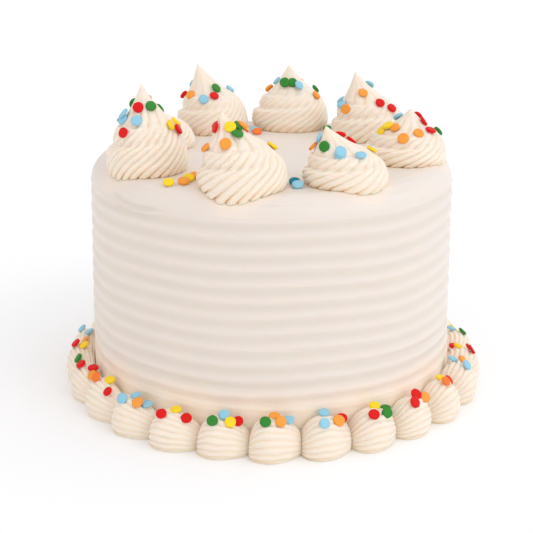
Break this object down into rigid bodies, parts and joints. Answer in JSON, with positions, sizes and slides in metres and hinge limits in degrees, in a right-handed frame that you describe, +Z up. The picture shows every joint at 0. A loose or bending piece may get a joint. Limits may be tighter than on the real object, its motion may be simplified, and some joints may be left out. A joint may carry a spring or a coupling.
{
  "type": "iced cake",
  "caption": "Round white iced cake with a combed side, piped star-tip rosettes on top, a piped shell border at the foot and bright confetti sprinkles.",
  "frame": {"origin": "centre of the cake's flat base, on the surface it stands on", "axes": "+Z up; the side shown in the picture faces -Y, +X to its right"},
  "size_m": [0.1856, 0.1877, 0.1364],
  "materials": {
    "cake_icing": "satin white icing, combed at the side",
    "rosette_icing": "satin white icing, piped",
    "shell_icing": "satin white icing, piped"
  },
  "bodies": {
    "root": {"cake": "cake_icing", "rosette_1": "rosette_icing", "rosette_2": "rosette_icing", "rosette_3": "rosette_icing", "rosette_4": "rosette_icing", "rosette_5": "rosette_icing", "rosette_6": "rosette_icing", "rosette_7": "rosette_icing", "rosette_8": "rosette_icing", "shell_01": "shell_icing", "shell_02": "shell_icing", "shell_03": "shell_icing", "shell_04": "shell_icing", "shell_05": "shell_icing", "shell_06": "shell_icing", "shell_07": "shell_icing", "shell_08": "shell_icing", "shell_09": "shell_icing", "shell_10": "shell_icing", "shell_11": "shell_icing", "shell_12": "shell_icing", "shell_13": "shell_icing", "shell_14": "shell_icing", "shell_15": "shell_icing", "shell_16": "shell_icing", "shell_17": "shell_icing", "shell_18": "shell_icing", "shell_19": "shell_icing", "shell_20": "shell_icing", "shell_21": "shell_icing", "shell_22": "shell_icing", "shell_23": "shell_icing", "shell_24": "shell_icing", "shell_25": "shell_icing", "shell_26": "shell_icing"}
  },
  "joints": []
}
